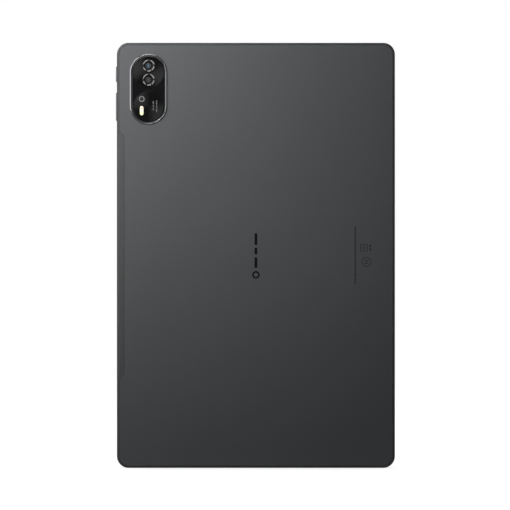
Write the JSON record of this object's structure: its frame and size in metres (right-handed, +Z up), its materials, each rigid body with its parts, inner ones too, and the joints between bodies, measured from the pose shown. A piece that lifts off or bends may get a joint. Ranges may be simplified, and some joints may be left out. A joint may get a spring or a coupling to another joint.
{
  "type": "tablet computer",
  "caption": "Slim tablet computer with a dark grey metal back, a pill-shaped rear camera island, side keys and a card tray.",
  "frame": {"origin": "under the middle of the bottom short edge, half way between the two long sides", "axes": "+Z up along the long side, +Y out of the screen, -Y out of the back, +X to the right when the back is looked at"},
  "size_m": [0.1687, 0.0089, 0.257],
  "materials": {
    "housing_metal": "satin",
    "antenna_plastic": "matte",
    "trim_metal": "polished",
    "island_glass": "gloss",
    "lens_glass": "gloss",
    "flash_diffuser": "gloss",
    "cover_glass": "gloss",
    "lcd_glass": "gloss",
    "key_metal": "satin",
    "black_polymer": "satin",
    "circuit_board": "satin",
    "bare_steel": "satin",
    "pan_metal": "satin",
    "frame_metal": "matte",
    "cell_pouch": "matte",
    "polyimide": "satin",
    "white_film": "satin",
    "clear_acrylic": "gloss",
    "cable_jacket": "matte",
    "rubber_seal": "matte"
  },
  "bodies": {
    "tablet_body": {"antenna_coax_cable": "cable_jacket", "antenna_cover": "antenna_plastic", "backlight_led_bar": "white_film", "backlight_pan": "pan_metal", "battery_adhesive_sheet": "white_film", "battery_cell_left": "cell_pouch", "battery_cell_right": "cell_pouch", "battery_protection_board": "circuit_board", "bottom_microphone": "rubber_seal", "bracket_screw": "bare_steel", "camera_bracket": "bare_steel", "camera_glass": "island_glass", "camera_trim_ring": "trim_metal", "card_socket": "bare_steel", "cover_glass": "cover_glass", "display_flex": "polyimide", "display_gasket": "rubber_seal", "flash_led_board": "circuit_board", "flash_lens": "flash_diffuser", "frame_screw_1": "bare_steel", "frame_screw_2": "bare_steel", "frame_screw_3": "bare_steel", "frame_screw_4": "bare_steel", "front_camera_module": "black_polymer", "key_bracket": "bare_steel", "lcd_cell": "lcd_glass", "light_guide_plate": "clear_acrylic", "light_sensor": "black_polymer", "main_board": "circuit_board", "main_camera_module": "black_polymer", "main_flex_cable": "polyimide", "main_lens_ring": "trim_metal", "main_lens_window": "lens_glass", "mid_frame": "frame_metal", "optical_film_stack": "white_film", "power_shield": "bare_steel", "processor_shield": "bare_steel", "radio_shield": "bare_steel", "rear_housing": "housing_metal", "reflector_sheet": "white_film", "second_camera_module": "black_polymer", "second_lens_ring": "trim_metal", "second_lens_window": "lens_glass", "side_antenna": "polyimide", "side_key_flex": "polyimide", "speaker_bottom_left": "black_polymer", "speaker_bottom_right": "black_polymer", "speaker_top_left": "black_polymer", "speaker_top_right": "black_polymer", "top_microphone": "rubber_seal", "touch_flex": "polyimide", "usb_board": "circuit_board", "usb_receptacle": "bare_steel", "usb_tongue": "black_polymer"},
    "power_key": {"power_button": "key_metal"},
    "volume_key": {"volume_button": "key_metal"},
    "tray": {"card_tray": "key_metal"},
    "rod": {"eject_rod": "bare_steel"},
    "lever": {"eject_lever": "bare_steel"},
    "focus_barrel": {"main_camera_barrel": "black_polymer"}
  },
  "joints": [
    {"name": "power_press", "type": "slide", "parent": "tablet_body", "child": "power_key", "axis": [1, 0, 0], "range_m": [0, 0.00025], "stiffness_N_per_m": 800},
    {"name": "volume_rock", "type": "hinge", "parent": "tablet_body", "child": "volume_key", "pos_m": [-0.0818, -0.0004, 0.2184], "axis": [0, 1, 0], "range_deg": [-1.2, 1.2], "stiffness_Nm_per_rad": 0.05},
    {"name": "tray_slide", "type": "slide", "parent": "tablet_body", "child": "tray", "axis": [0, 0, 1], "range_m": [0, 0.026]},
    {"name": "eject_rod_press", "type": "slide", "parent": "tablet_body", "child": "rod", "axis": [0, 0, -1], "range_m": [0, 0.0012]},
    {"name": "eject_lever_turn", "type": "hinge", "parent": "tablet_body", "child": "lever", "pos_m": [0.0335, -0.00115, 0.2296], "axis": [0, 1, 0], "range_deg": [0, 17.7]},
    {"name": "focus_slide", "type": "slide", "parent": "tablet_body", "child": "focus_barrel", "axis": [0, -1, 0], "range_m": [0, 0.00025], "stiffness_N_per_m": 40}
  ],
  "couplings": [
    {"joint": "eject_lever_turn", "follows": "eject_rod_press", "rad_per_m": 256.41}
  ]
}
